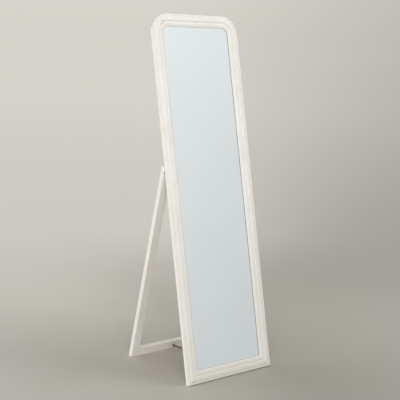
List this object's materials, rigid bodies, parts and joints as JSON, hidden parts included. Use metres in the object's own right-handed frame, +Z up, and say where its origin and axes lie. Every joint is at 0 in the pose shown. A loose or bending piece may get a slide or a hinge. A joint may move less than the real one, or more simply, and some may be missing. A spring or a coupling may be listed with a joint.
{
  "type": "cheval mirror",
  "caption": "Free-standing full-length mirror in a cream painted moulded frame with rounded top corners, on a folding easel stand held by a chain.",
  "frame": {"origin": "on the floor, under the middle of the open mirror's bounding box", "axes": "+Z up, +X to the right of someone who looks into the mirror from the front, +Y from the glass towards the stand"},
  "size_m": [0.468, 0.4624, 1.563],
  "materials": {
    "cream_paint": "brushed satin cream paint over wood, lightly worn at the edges",
    "bare_wood": "unpainted beech",
    "hardboard": "smooth brown hardboard",
    "mirror": "clear silvered glass",
    "antique_brass": "dark antique brass",
    "steel_screws": "zinc plated"
  },
  "bodies": {
    "mirror": {"moulding_left_stile": "cream_paint", "moulding_right_stile": "cream_paint", "moulding_top_rail": "cream_paint", "moulding_bottom_rail": "cream_paint", "moulding_left_corner": "cream_paint", "moulding_right_corner": "cream_paint", "back_left_stile": "cream_paint", "back_right_stile": "cream_paint", "back_top_rail": "cream_paint", "back_bottom_rail": "cream_paint", "frame_dowels": "bare_wood", "mirror_glass": "mirror", "back_panel": "hardboard", "moulding_screws": "steel_screws", "left_hinge_frame_leaf": "antique_brass", "right_hinge_frame_leaf": "antique_brass", "left_hinge_pin": "antique_brass", "right_hinge_pin": "antique_brass", "frame_leaf_screws": "steel_screws", "frame_screw_eye": "antique_brass"},
    "stand": {"left_leg": "cream_paint", "right_leg": "cream_paint", "crossbar": "cream_paint", "crossbar_dowels": "bare_wood", "left_hinge_stand_leaf": "antique_brass", "right_hinge_stand_leaf": "antique_brass", "stand_leaf_screws": "steel_screws", "stand_screw_eye": "antique_brass", "stay_chain": "antique_brass"}
  },
  "joints": [
    {"name": "stand_fold", "type": "hinge", "parent": "mirror", "child": "stand", "pos_m": [0, 0.00091, 0.90832], "axis": [-1, 0, 0], "range_deg": [0, 24.5], "deforming": ["stay_chain"]}
  ]
}
